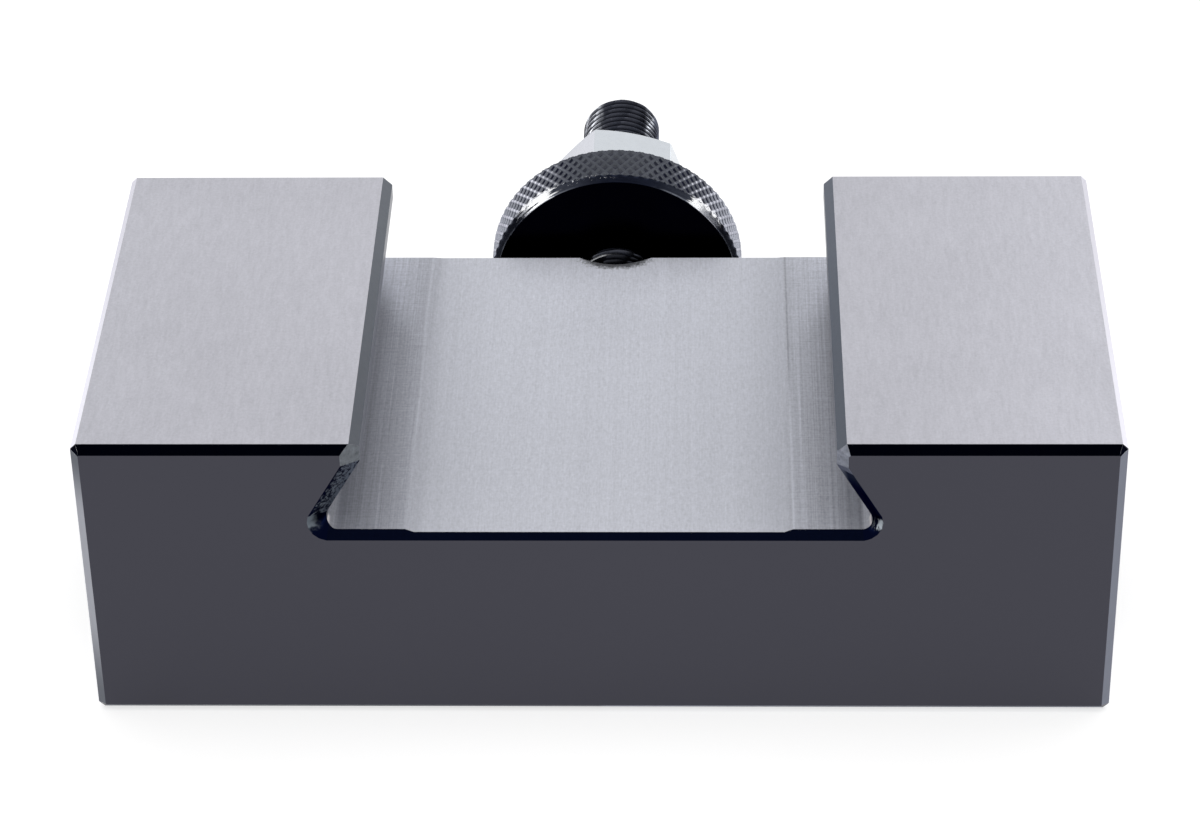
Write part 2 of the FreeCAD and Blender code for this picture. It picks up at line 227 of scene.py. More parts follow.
def black_bevel():
    """The bevels round both ends: oxide, painted nearly black as the dark reflection they show, and bluer at
    the height of the groove's floor.
    """
    finish = Finish("black_bevel", rough=0.3)
    (z,) = finish.axes("Z")
    grain = finish.noise(3.0, 3.0)
    # Painted dark reflection, bluer low down.
    base = finish.mix(z.ramp(28.0, 33.0), shade(5, 9, 25), shade(1, 2, 8))
    finish.feed("Base Color", finish.tint(base, 0.75 + grain * 0.5))
    finish.bump(grain, 0.004)
    return finish


def groove_floor():
    """The floor, ground along the groove and brightest in its middle, with a duller milled strip each side
    that darkens towards the flank and the lower end, partly its own tone and partly painted shade: a ramp on
    x, times streaks, scratches and feed marks. Painted light brightens the floor towards the nut and the
    strips towards their far ends, painted shade darkens the notch over the stud's hole, and a painted
    highlight lies in each strip's corner at the lower end."""
    finish = Finish("groove_floor", metallic=0.3, rough=0.55)
    x, y = finish.axes("XY")
    half, hole_x, notch_y, notch_width, notch_length = 31.0, 0.8, 7.8, 3.6, 1.9
    # Tones across the floor: the milled strips' own duller tone and painted shade from the flanks, the left
    # strip painted darker than the right.
    spots = (
        (-half, 132), (-29.0, 137), (-25.0, 145), (-21.9, 156), (-20.6, 170), (-19.2, 182), (-12.0, 189),
        (4.0, 191), (16.0, 185), (20.3, 176), (21.9, 169), (25.0, 165), (29.0, 159), (half, 154),
    )
    stops = [((spot + half) / (2 * half), shade(tone - 1, tone + 1, tone + 10)) for spot, tone in spots]
    base = finish.node("ShaderNodeValToRGB", {"stops": stops}, {"Fac": (x + half) / (2 * half)})
    strip = abs(x).ramp(20.2, 22.4)
    streaks = finish.noise((2.6, 0.012, 1.0), 4.0, 0.65)
    grain = finish.noise((5.0, 0.8, 5.0), 2.0)
    feed = finish.noise((0.3, 4.5, 1.0), 2.0)
    scratches = finish.noise((6.5, 0.03, 1.0), 2.0)
    specks = finish.noise((3.0, 2.4, 1.0), 3.0, 0.7)
    change = (streaks - 0.5) * (0.16 + strip * 0.6) + (grain - 0.5) * 0.3
    change = change + (specks - 0.5) * (0.42 + strip * 0.2) + (feed - 0.5) * strip * 0.4
    change = change + (scratches - 0.5) * (0.1 + strip * 0.42)
    broken = finish.noise((0.3, 0.07, 0.3), 2.0).ramp(0.3, 0.6)
    wander = x + (finish.noise(0.05, 1.0) - 0.5) * 0.5
    lines = (
        (-27.0, 0.1, 0.1), (-24.5, 0.12, 0.24), (-24.2, 0.12, -0.16), (-21.3, 0.25, 0.12),
        (-20.7, 0.5, -0.06), (20.9, 0.3, -0.05), (24.9, 0.12, 0.06), (25.2, 0.15, -0.14), (27.6, 0.1, -0.12),
    )
    for at, width, lighter in lines:
        change = change + abs(wander - at).ramp(width, width * 0.2) * broken * lighter
    # Painted light and shade along the step's edge: lighter towards the lower end, darker towards the upper.
    step_edge = y.ramp(-18.0, -30.0) * 0.16 - y.ramp(-24.0, -10.0) * 0.28
    change = change + abs(x - 21.35).ramp(0.2, 0.05) * step_edge
    # Painted light: the floor lighter towards the nut, and the strips lighter towards their far ends, past
    # the flanks' painted shade.
    level = 0.94 + y.ramp(-46.0, 2.0) * 0.12
    lit = (y + (27.0 - abs(x)) * 1.9).ramp(-5.0, 4.5)
    level = level * (1.0 + abs(x).ramp(20.5, 27.5) * lit * (0.8 - x.ramp(-1.0, 1.0) * 0.25))
    # Painted shade on the right strip beside the flank, half way along.
    level = level * (1.0 - x.ramp(25.5, 27.5) * y.ramp(-33.0, -20.0) * y.ramp(6.0, -6.0) * 0.25)
    # Painted light round the nut's end of the floor, where the nut shades it.
    level = level * (1.0 + abs(x - hole_x).ramp(15.0, 5.0) * y.ramp(-9.0, 9.0) * 0.27)
    # Painted shade, mottled, round the notch over the stud's hole.
    across = (x - hole_x) / notch_width
    ahead = (notch_y - y) / notch_length
    to_hole = (across * across + ahead * ahead) ** 0.5
    level = level * (1.0 - (to_hole + (specks - 0.5) * 0.9).ramp(1.32, 0.85) * 0.85)
    # A painted highlight in the root corner of each strip at the lower end.
    root = abs(x).ramp(29.5, 29.8) * y.ramp(-45.4, -46.0)
    tone = finish.tint(base, (1.0 + change) * level)
    finish.feed("Base Color", finish.mix(root, tone, shade(226, 221, 222)))
    finish.feed("Roughness", 0.5 + (streaks - 0.5) * 0.1)
    finish.bump(streaks * 0.7 + grain * 0.3, 0.006)
    return finish


def bevel_tone(name, left, right, mottle, metallic=0.2, rough=0.55):
    """A bevel painted with the light and shade it shows, a tone that differs from the left of the block to
    its right, with mottling of its own. left and right are a painted tone each, or one for the lower end of
    the block and one for the upper end."""
    finish = Finish(name, metallic, rough, 0.3)
    x, y = finish.axes("XY")
    blot = finish.noise(1.6, 4.0, 0.7)
    along = y.ramp(-48.0, 8.0)
    # Painted light and shade: a tone for the left and one for the right, changing along the block.
    sides = [finish.mix(along, tones[0], tones[-1]) for tones in (left, right)]
    base = finish.mix(x.ramp(-0.5, 0.5), *sides)
    finish.feed("Base Color", finish.tint(base, 1.0 + (blot - 0.5) * mottle))
    finish.bump(blot, 0.02)
    return finish


def upright_bevel():
    """The upright bevels of both ends, with painted light: brightest half way up on the left, even on the
    right.
    """
    finish = Finish("upright_bevel", 0.2, 0.55, 0.3)
    x, z = finish.axes("XZ")
    blot = finish.noise(0.9, 4.0, 0.6)
    # Painted light half way up the left bevels.
    middle_height = z.ramp(2.0, 14.0) * z.ramp(35.0, 27.0)
    left = finish.mix(middle_height, shade(99, 103, 112), shade(172, 174, 183))
    base = finish.mix(x.ramp(-0.5, 0.5), left, shade(128, 132, 146))
    finish.feed("Base Color", finish.tint(base, 1.0 + (blot - 0.5) * 0.1))
    finish.bump(blot, 0.02)
    return finish


def flank_lead():
    """The wider bevel at the lower end of each flank: pitted on the left, with light specks towards the
    flank, and smooth on the right, blue black on the bevel as a painted dark reflection, painted lighter
    near its top on the right, and grey on the flank behind it."""
    finish = Finish("flank_lead", rough=0.35)
    x, y, z = finish.axes()
    pits = finish.noise(2.2, 5.0, 0.75)
    inner = y.ramp(-48.3, -46.7) + z.ramp(27.0, 33.0) * 0.5
    specks = (pits + inner * 0.08).ramp(0.52, 0.62) * y.ramp(-48.35, -48.1)
    left = finish.mix(specks, shade(4, 9, 32), shade(128, 136, 145))
    # Painted dark reflection on the right, painted lighter towards its top.
    upper = finish.mix(z.ramp(30.2, 33.0), shade(8, 13, 36), shade(50, 56, 67))
    flank = (y + 47.6 - (33.0 - z) * 0.3).ramp(-0.25, 0.25)
    upper = finish.mix(flank, upper, shade(122, 126, 135))
    upper = finish.mix(z.ramp(32.9, 33.05), upper, shade(130, 134, 146))
    finish.feed("Base Color", finish.mix(x.ramp(-0.5, 0.5), left, upper))
    finish.feed("Specular Tint", (0.4, 0.4, 0.5, 1.0))
    finish.bump(pits, 0.02)
    return finish


def root_lead():
    """The same bevel round the root: painted light glints where it starts to turn, then blue black under it,
    a painted dark reflection.
    """
    finish = Finish("root_lead", rough=0.3)
    x, y, z = finish.axes()
    pits = finish.noise(1.3, 4.0, 0.6)
    streak = finish.noise((3.0, 3.0, 0.7), 3.0, 0.6)
    # Painted glints, grey on the left and lighter streaks on the right, over a painted dark reflection.
    glint = finish.mix(x.ramp(-0.5, 0.5), shade(104, 112, 120), shade(160, 167, 174))
    patch = (z + (pits - 0.5) * 2.2).ramp(25.1, 26.0) * (y + (pits - 0.5) * 1.2).ramp(-47.3, -47.9)
    right = (streak + (pits - 0.5) * 0.5).ramp(0.46, 0.60) * z.ramp(27.0, 26.6)
    share = patch * (1.0 - x.ramp(-0.5, 0.5) * (1.0 - right)) * (0.55 + pits * 0.6)
    finish.feed("Base Color", finish.mix(share, shade(4, 8, 28), glint))
    finish.feed("Specular Tint", (0.4, 0.4, 0.5, 1.0))
    finish.bump(pits, 0.02)
    return finish


def painted_edge_hairline():
    """The hairline along every broken edge: a painted highlight, brightest on the left side's edges, but
    painted dark where it borders an end face.
    """
    finish = Finish("painted_edge_hairline", rough=0.3)
    x, y = finish.axes("XY")
    nick = finish.noise(1.2, 3.0)
    # Painted highlight along the hairline, near white on the left side's edges.
    bright = finish.mix(nick.ramp(0.35, 0.6), shade(180, 182, 190), shade(228, 229, 234))
    bright = finish.mix(x.ramp(-55.5, -56.0), bright, shade(252, 252, 255))
    away = y.ramp(-48.3, -48.0) * y.ramp(8.65, 8.3)
    finish.feed("Base Color", finish.mix(away, shade(66, 67, 76), bright))
    return finish


def milled():
    """The tool slot, milled along the block: wide tool marks across a duller steel."""
    finish = Finish("milled_slot", rough=0.42)
    marks = finish.noise((0.02, 3.0, 3.0), 3.0, 0.6)
    tone = 1.0 + (marks - 0.5) * 0.16
    finish.feed("Base Color", finish.tint(shade(150, 151, 158), tone))
    finish.bump(marks, 0.012)
    return finish


END_FACE, JAW, FLOOR, FLANK, MOUTH, BLACK, NOSE, LEAD, ROOT, UPRIGHT, SIDE, SLOT, HOLE, EDGE = range(14)
finishes = [
    # The end faces: dark grey, a painted dark reflection.
    dull("end_face", shade(69, 69, 77)),
    # The jaw faces, with painted shade at their lower end and painted light on the left and the far right.
    ground("jaw_face", shade(182, 182, 190), "y", 0.13, near=0.965, left=1.04, outer=0.15),
    groove_floor(),
    ground("flank_face", shade(112, 115, 124), "y", 0.12),
    # Painted shade: the mouth bevels' dark grey tones.
    bevel_tone(
        "mouth_bevel", (shade(79, 83, 91), shade(91, 96, 104)),
        (shade(78, 84, 95), shade(88, 94, 106)), 0.3,
    ),
    black_bevel(),
    # Painted light and shade: the nose bevels, darker on the left than on the right.
    bevel_tone("nose_bevel", (shade(110, 115, 121),), (shade(132, 136, 148),), 1.7),
    flank_lead(),
    root_lead(),
    upright_bevel(),
    # Painted highlights: the side bevels near white, brightest towards the lower end.
    bevel_tone(
        "side_bevel", (shade(246, 245, 255), shade(218, 217, 228)),
        (shade(243, 242, 252), shade(217, 216, 226)), 0.06,
    ),
    milled(),
    dull("tapped_hole", shade(34, 35, 42), 0.3, 0.35),
    painted_edge_hairline(),
]

half_width, thick, lower, upper = 57.15, 36.4, -48.4, 8.75
slot_low, slot_high, slot_top = -34.4, -13.8, 17.5
screw_places, screw_z = (-41.99, -20.84, 20.84, 41.99), 8.75
step_at, step_foot, floor_level = 21.3, 20.3, 24.77
close = 0.01

shape = bmesh.new()
shape.from_mesh(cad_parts["holder_body"].data)
bmesh.ops.remove_doubles(shape, verts=shape.verts, dist=1e-6)
bmesh.ops.dissolve_limit(shape, angle_limit=math.radians(1.0), verts=shape.verts, edges=shape.edges)
block_mesh = bpy.data.meshes.new("holder_block")
shape.to_mesh(block_mesh)
shape.free()

# The step from the floor down from its strips is a slope: its foot lies nearer the middle than its top.
corners = np.empty(3 * len(block_mesh.vertices))
block_mesh.vertices.foreach_get("co", corners)
corners = corners.reshape(-1, 3)
at_step = np.abs(np.abs(corners[:, 0]) - step_at * mm) < 1e-6
at_foot = at_step & (np.abs(corners[:, 2] - floor_level * mm) < close * mm)
corners[at_foot, 0] *= step_foot / step_at
block_mesh.vertices.foreach_set("co", corners.ravel())
block_mesh.update()


def per_face(mesh, what):
    """The three numbers that a mesh holds for each face, such as its normal, as rows."""
    values = np.empty(3 * len(mesh.polygons))
    mesh.polygons.foreach_get(what, values)
    return values.reshape(-1, 3)


# A face's finish follows from where its middle lies and which way it faces. The last rule that fits it wins.
facing = per_face(block_mesh, "normal")
middle = per_face(block_mesh, "center") / mm
nx, ny, nz = facing.T
cx, cy, cz = middle.T
side = np.abs(cx)
sloped, flat = 0.6, 0.99
zone = np.full(len(facing), HOLE)
at_lower = cy < lower + 2.5
at_end = at_lower | (cy > upper - 1.0)
end_slope = (np.abs(ny) > sloped) & (np.abs(ny) < 0.8)
near_screw = np.min([np.hypot(cx - place, cz - screw_z) for place in screw_places], axis=0) < 6.9
in_slot = (cy > slot_low - 0.6) & (cy < slot_high + 0.8) & (cz < slot_top + 0.5)
rules = (
    ((np.abs(ny) > flat) & ((cy < lower + close) | (cy > upper - close)), END_FACE),
    ((nz < -flat) & (cz < close), JAW),
    ((nz > flat) & (cz > thick - close), JAW),
    ((np.abs(nx) > flat) & (side > half_width - close), JAW),
    ((side < 31.5) & (cz > 24.7) & (cz < 26.0) & (np.abs(ny) < 0.1), FLOOR),
    ((side > 25.8) & (side < 31.0) & (cz > 25.8) & (cz < 35.3) & (np.abs(ny) < 0.1), FLANK),
    ((side < 27.0) & (cz > 35.3) & (np.abs(nx) > sloped) & (nz > sloped), MOUTH),
    (at_end & end_slope & (side < half_width - 0.05) & (cz > 24.0), BLACK),
    (at_lower & end_slope & (side < 28.5) & (cz > 33.0) & (np.abs(nx) > 0.3), NOSE),
    (at_lower & end_slope & (np.abs(nx) > 0.5) & (side < 33.0) & (cz > 26.0) & (cz < 33.5), LEAD),
    (at_lower & end_slope & (np.abs(nx) > 0.1) & (side < 33.0) & (cz < 27.2), ROOT),
    ((np.abs(nx) > sloped) & (np.abs(ny) > sloped) & (side > 56.0), UPRIGHT),
    ((np.abs(ny) > sloped) & (nz < -sloped) & (cz < 1.0), UPRIGHT),
    ((np.abs(nx) > sloped) & (np.abs(nz) > sloped) & (side > 56.5), SIDE),
    (in_slot & (np.abs(nx) < 0.5) & ~near_screw, SLOT),
    (in_slot & (np.abs(ny) > flat), SLOT),
)
for chosen, number in rules:
    zone[chosen] = number
block_mesh.polygons.foreach_set("material_index", zone)
block_mesh.polygons.foreach_set("use_smooth", np.isin(zone, (LEAD, ROOT, HOLE)))
for finish in finishes:
    block_mesh.materials.append(finish.material)
block = bpy.data.objects.new("holder_block", block_mesh)
scene.collection.objects.link(block)
broken = block.modifiers.new("broken_edges", "BEVEL")
broken.width = 0.08 * mm
broken.segments = 2
broken.limit_method = "ANGLE"
broken.angle_limit = math.radians(25.0)
broken.harden_normals = True
broken.material = EDGE
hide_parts("holder_body")
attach(block, "holder")


# Height stud: an M10 stud with a fine thread, screwed into the block's upper end and blackened. It carries
# the two nuts that set how high the holder sits on the tool post.


def skin(name, rings, loop=False):
    """A closed mesh over an array of rings of points: four-sided faces between neighbours, each ring joined
    round. The ends are drawn together at their middles, or with loop the last ring joins the first."""
    count, around = rings.shape[:2]
    points = rings.reshape(-1, 3)
    ring = np.arange(count if loop else count - 1)[:, None]
    step = np.arange(around)[None, :]
    beside = (step + 1) % around
    here = ring * around
    after = (ring + 1) % count * around
    faces = np.stack([here + step, here + beside, after + beside, after + step], -1)
    faces = faces.reshape(-1, 4).tolist()
    if not loop:
        step, beside = step[0], beside[0]
        tip = np.full(around, len(points))
        last = (count - 1) * around
        faces += np.stack([tip, beside, step], -1).tolist()
        faces += np.stack([tip + 1, last + step, last + beside], -1).tolist()
        points = np.vstack([points, rings[0].mean(0), rings[-1].mean(0)])
    mesh = bpy.data.meshes.new(name)
    mesh.from_pydata((points * mm).tolist(), [], faces)
    mesh.polygons.foreach_set("use_smooth", np.ones(len(mesh.polygons), dtype=bool))
    return mesh


def turned(name, radius, along, turn, axis_x, axis_z, loop=False):
    """Rings round an axis along y: x = axis_x + radius * sin(turn), z = axis_z + radius * cos(turn)."""
    radius, along, turn = np.broadcast_arrays(radius, along, turn)
    rings = np.stack([axis_x + radius * np.sin(turn), along, axis_z + radius * np.cos(turn)], -1)
    return skin(name, rings, loop)


def thread_depth(along, turn, pitch):
    """How deep a right hand thread is cut at a place, from 0 on its flat crest to 1 in its rounded root.
    The phase along / pitch - turn / circle runs from one crest to the next, and both flanks are straight."""
    phase = (along / pitch - turn / (2 * np.pi)) % 1.0
    flank = np.clip((0.42 - np.abs(phase - 0.5)) / 0.32, 0.0, 1.0)
    return flank * (1.6 - 0.6 * flank)


def black_oxide(name, colour, crest, axis, end, bare=0.6):
    """Black oxide on a machined thread: a fine grain, thin cloudy places, blackest in the root, and rubbed
    to grey on the crests and the end face, with bare specks there. The crest is told by the distance from
    the thread's axis. The colour comes back with the finish, for its Base Color."""
    finish = Finish(name, rough=0.26)
    (y,) = finish.axes("Y")
    crests = finish.around(*axis)[0].ramp(crest - 0.5, crest - 0.02)
    grain = finish.noise(3.5, 3.0)
    cloud = finish.noise(0.35, 3.0)
    speck = finish.noise(2.4, 5.0, 0.7)
    rubbed = crests.math("MAXIMUM", crests, y.ramp(end - 0.3, end - 0.1) * 0.6)
    base = finish.mix(rubbed, shade(14, 16, 24), colour)
    base = finish.tint(base, 1.0 + (grain + cloud - 1.0) * 0.7)
    base = finish.mix(speck.ramp(0.6, 0.74) * rubbed * bare, base, shade(150, 155, 164))
    finish.feed("Roughness", 0.26 + (grain - 0.5) * 0.15)
    finish.bump(grain, 0.006)
    return finish, base


def add(name, mesh, finish, body, node, crease=30.0):
    """Put one piece in the scene with its finish, riding on its body in place of its CAD node."""
    mesh.materials.append(finish.material)
    mesh.set_sharp_from_angle(angle=math.radians(crease))
    piece = bpy.data.objects.new(name, mesh)
    scene.collection.objects.link(piece)
    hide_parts(node)
    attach(piece, body)
    return piece


stud_axis = 0.8, 19.2
stud_radius, stud_pitch, stud_cut, stud_bevel = 4.9, 1.1, 0.64, 0.8
stud_start, nut_face, stud_end = -6.25, 10.75, 48.4
turn = np.linspace(0, 2 * np.pi, 72, endpoint=False)[None, :]
along = np.linspace(stud_start, stud_end, 540)[:, None]
to_end = np.minimum(along - stud_start, stud_end - along)
cut = stud_radius - stud_cut * thread_depth(along, turn, stud_pitch)
radius = np.minimum(cut, stud_radius - stud_bevel + to_end)
threaded = turned("threaded_stud", radius, along, turn, *stud_axis)


def stud_oxide():
    """The stud's oxide, with painted glints along its thread's flanks: a wide one on its left, a narrow one
    on its right with a painted grey reflection beyond it, painted shade short of the nut's face, and a white
    ring beside the nut, a painted highlight, bright at both its ends."""
    finish, base = black_oxide("stud_oxide", shade(60, 62, 70), stud_radius, stud_axis, stud_end, 0.2)
    (y,) = finish.axes("Y")
    out, angle = finish.around(*stud_axis)
    crests = out.ramp(stud_radius - 0.4, stud_radius - 0.04)
    grain = finish.noise(2.2, 3.0)
    beyond = y.ramp(nut_face, nut_face + 0.3) * out.ramp(stud_radius - 0.9, stud_radius - 0.75)
    # Painted glints on the flanks beyond the nut's face, and a painted grey reflection further right.
    left = abs(angle + 52.0 + (grain - 0.5) * 14.0).ramp(27.0, 8.0) * beyond
    right = abs(angle - 52.0 + (grain - 0.5) * 10.0).ramp(13.0, 5.0) * beyond
    edge = angle.ramp(54.0, 64.0) * angle.ramp(104.0, 94.0) * beyond
    base = finish.mix(edge * 0.8, base, shade(98, 102, 116))
    left_tone = finish.mix(crests, shade(84, 88, 97), shade(216, 219, 226))
    base = finish.mix(left * (0.3 + crests * 0.7), base, left_tone)
    base = finish.mix(right * crests, base, shade(188, 192, 200))
    # Painted shade on the stud short of the nut's face.
    base = finish.tint(base, 0.45 + y.ramp(nut_face - 0.2, nut_face) * 0.55)
    # A painted highlight: a white, unmetallic ring beside the nut, bright at both its ends.
    leftward = angle.ramp(-10.0, -50.0)
    ring = (y + leftward * 0.4).ramp(nut_face - 0.5, nut_face - 0.35) * y.ramp(nut_face, nut_face - 0.1)
    ends = (angle + grain * 8.0).ramp(-8.0, -18.0) + (angle - grain * 6.0).ramp(17.0, 24.0)
    ring = ring * (0.16 + ends * 0.84)
    finish.feed("Metallic", 1.0 - ring)
    finish.feed("Specular Tint", (0.6, 0.6, 0.65, 1.0))
    finish.feed("Base Color", finish.mix(ring, base, shade(250, 252, 255)))
    return finish


add("threaded_stud", threaded, stud_oxide(), "holder", "height_stud", 40.0)


# Knurled nut: a turned nut with a diamond knurled flange and a plain hub, blackened. It bears on the top of
# the tool post, and turning it sets the tool's height. The knurl and the flange's bevel carry painted light.


def eased(corners, ease=0.12, steps=4):
    """A profile with its corners rounded: each becomes a curve (1-s)^2 a + 2s(1-s) c + s^2 b, with s from 0
    to 1 in so many steps, where a and b lie on the two sides, ease away from the corner c."""
    corners = np.array(corners, float)
    back = np.roll(corners, 1, 0) - corners
    onward = np.roll(corners, -1, 0) - corners
    back[0] = corners[0] - corners[1]
    onward[-1] = corners[-1] - corners[-2]
    start = corners + back / np.linalg.norm(back, axis=1, keepdims=True) * ease
    finish = corners + onward / np.linalg.norm(onward, axis=1, keepdims=True) * ease
    start[0] = corners[0]
    finish[-1] = corners[-1]
    share = np.linspace(0, 1, steps)[None, :, None]
    rest = 1 - share
    curve = rest**2 * start[:, None] + 2 * share * rest * corners[:, None] + share**2 * finish[:, None]
    return curve.reshape(-1, 2)


rim_radius, rim_start, rim_end, rim_bevel = 15.4, nut_face, 17.85, 0.7
bevel_foot = rim_radius - rim_bevel
hub_radius, hub_end, hub_bevel = 9.5, 24.9, 0.6
bore_radius, bore_bevel = 4.95, 0.5
teeth, diamond, knurl_rise, knurl_depth = 77, 2.05, 0.32, 0.14


def knurl(turn, along):
    """How far the knurl lies below its tips: two sets of raised lines, teeth of them round the rim, lean each
    way and leave pits between. The depth is knurl_rise * 2 |u - round(u)| below the nearer line, where
    u = teeth * turn / circle +- along / diamond, and knurl_depth at most."""
    away = 1.0
    for lean in (-1, 1):
        place = teeth * turn / (2 * np.pi) + lean * along / diamond
        away = np.minimum(away, np.abs(place - np.round(place)) * 2)
    return np.clip(knurl_rise * (away - 0.16), 0, knurl_depth)


face = eased([
    (rim_start + bore_bevel, bore_radius), (rim_start, bore_radius + bore_bevel),
    (rim_start, bevel_foot - 0.3),
])
rim_along = np.concatenate([
    np.linspace(rim_start, rim_start + rim_bevel, 7, endpoint=False),
    np.linspace(rim_start + rim_bevel, rim_end - rim_bevel, 45, endpoint=False),
    np.linspace(rim_end - rim_bevel, rim_end, 7),
])
rim_limit = bevel_foot + np.minimum(rim_along - rim_start, rim_end - rim_along)
rim = np.stack([rim_along, np.minimum(rim_limit, rim_radius)], -1)
hub = eased([
    (rim_end, bevel_foot - 0.3), (rim_end, hub_radius), (hub_end - hub_bevel, hub_radius),
    (hub_end, hub_radius - hub_bevel), (hub_end, bore_radius + bore_bevel),
    (hub_end - bore_bevel, bore_radius),
], 0.2)
profile = np.vstack([face, rim, hub])
turn = np.linspace(0, 2 * np.pi, teeth * 10, endpoint=False)[None, :]
along = profile[:, :1]
plain_radius = profile[:, 1:]
knurled = np.minimum(plain_radius, rim_radius - knurl(turn, along))
radius = np.where(plain_radius > bevel_foot - 0.01, knurled, plain_radius)
nut_mesh = turned("knurled_height_nut", radius, along, turn, *stud_axis, True)


def nut_oxide():
    """Black oxide on the knurl, its raised lines grey and its pits dark, with painted light and shade by
    angle:
    the lines of one set are painted brighter left of the top, those of the other right of it, with painted
    glints where they cross. The flange's front bevel is painted dark, darkest at the top, with a painted
    light hairline, two ragged patches and some flecks of painted glint. A place lies the distance of teeth *
    angle /
    360 +- y / diamond from a whole number away from each set of lines. The patches are set by angle, and
    their edges by noise drawn out round the rim."""
    finish = Finish("nut_oxide", rough=0.25)
    (y,) = finish.axes("Y")
    out, angle = finish.around(*stud_axis)
    grain = finish.noise(4.0, 4.0, 0.65)
    cloud = finish.noise(0.3, 2.0)
    round_rim = finish.node("ShaderNodeCombineXYZ", {}, {"X": angle * 0.11, "Y": y * 3.6, "Z": out * 3.6})
    streak = finish.noise_at(round_rim, 4.0, 0.68)
    around = angle * (teeth / 360.0)
    rising = (around + y / diamond).from_whole()
    falling = (around - y / diamond).from_whole()
    rightward = angle.ramp(-6.0, 6.0)
    away = abs(angle)
    main = rising + (falling - rising) * rightward
    other = rising + falling - main
    front = (y + (streak - 0.5) * 3.4).ramp(rim_start + 1.35, rim_start + 1.15)
    front = front * out.ramp(bevel_foot - 0.1, bevel_foot)
    # Painted highlights on the front bevel: two ragged glint patches, set by angle, and glint flecks left of
    # the top.
    left_glint_patch = abs(angle + 40.0 + (streak - 0.5) * 30.0).ramp(12.0, 8.0)
    right_glint_patch = abs(angle - 47.0 + (streak - 0.5) * 30.0).ramp(9.5, 6.5)
    glint_patches = left_glint_patch + right_glint_patch * 0.9
    flecks = grain.ramp(0.62, 0.70)
    scattered = flecks * abs(angle + 16.0).ramp(18.0, 10.0)
    scattered = scattered * abs(y - rim_start - rim_bevel).ramp(0.5, 0.2)
    bare = front * glint_patches * streak.ramp(0.36, 0.43) + scattered * 0.8
    # Painted light and shade on the knurl: its tones lighter towards the sides, and painted glints where its
    # lines cross.
    plain = finish.mix(rightward, shade(160, 163, 172), shade(164, 167, 176))
    toward_edge = (away + rightward * (away * 0.7 - 40.0)).ramp(16.0, 78.0)
    plain = finish.mix(toward_edge, shade(76, 79, 85), plain)
    pit = finish.mix(away.ramp(7.0, 24.0), shade(66, 68, 74), shade(13, 16, 27))
    pit = finish.mix(away.ramp(48.0, 76.0) * 0.3, pit, plain)
    line = finish.mix(rightward, shade(206, 208, 218), shade(200, 203, 212))
    line = finish.mix((away - rightward * 11.0).ramp(18.0, 64.0), shade(82, 85, 91), line)
    rim_tone = finish.mix(other.ramp(0.2, 0.36) * main.ramp(0.12, 0.26), plain, pit)
    rim_tone = finish.mix(main.ramp(0.17, 0.07), rim_tone, line)
    glint = main.ramp(0.2, 0.1) * other.ramp(0.24, 0.1) * away.ramp(22.0, 46.0) * (0.4 + grain * 0.8)
    rim_tone = finish.mix(glint * (1.0 - rightward * 0.35), rim_tone, shade(242, 243, 250))
    # Painted shade on the front bevel, darkest at the top, with a painted light hairline at its inner edge.
    dark_bevel = finish.mix(abs(angle - 6.0).ramp(8.0, 34.0), shade(22, 25, 36), shade(50, 53, 62))
    dark_bevel = finish.tint(dark_bevel, 0.4 + streak * 1.2)
    corner = out.ramp(bevel_foot - 0.08, bevel_foot - 0.02) * out.ramp(bevel_foot + 0.14, bevel_foot + 0.04)
    corner = corner * away.ramp(16.0, 34.0)
    dark_bevel = finish.mix(corner * streak.ramp(0.4, 0.55), dark_bevel, shade(122, 126, 135))
    bevel_shade = finish.mix(out.ramp(bevel_foot - 0.06, bevel_foot - 0.02), shade(2, 2, 7), dark_bevel)
    on_bevel = y.ramp(rim_start + rim_bevel + 0.02, rim_start + rim_bevel - 0.04)
    behind_bevel = finish.mix(out.ramp(bevel_foot - 0.3, bevel_foot - 0.1), shade(40, 43, 50), rim_tone)
    tone = finish.mix(on_bevel, behind_bevel, bevel_shade)
    base = finish.tint(tone, 1.0 + (grain + cloud - 1.0) * 0.6)
    finish.feed("Base Color", finish.mix(bare, base, shade(252, 253, 255)))
    finish.feed("Roughness", 0.26 + (grain - 0.5) * 0.2)
    finish.feed("Specular Tint", (0.55, 0.55, 0.6, 1.0))
    finish.bump(grain, 0.008)
    return finish


add("knurled_height_nut", nut_mesh, nut_oxide(), "knurled_nut", "knurled_nut", 35.0)


# Lock nut: a plain hexagon nut, 17 mm across its flats, crowned at both ends and zinc plated bright. Run up
# against the knurled nut it keeps the height that was set.

nut_start, nut_end = hub_end, 33.3
flats, face_radius, crown = 17.0, 8.075, math.radians(30.0)
nut_turn = math.radians(12.3)


def hexagon(turn, across, first_flat=0.0):
    """Radius of a hexagon across its flats: half of it over the cosine of the angle from the nearest flat."""
    sixth = np.pi / 3
    return across / 2 / np.cos((turn - first_flat + sixth / 2) % sixth - sixth / 2)


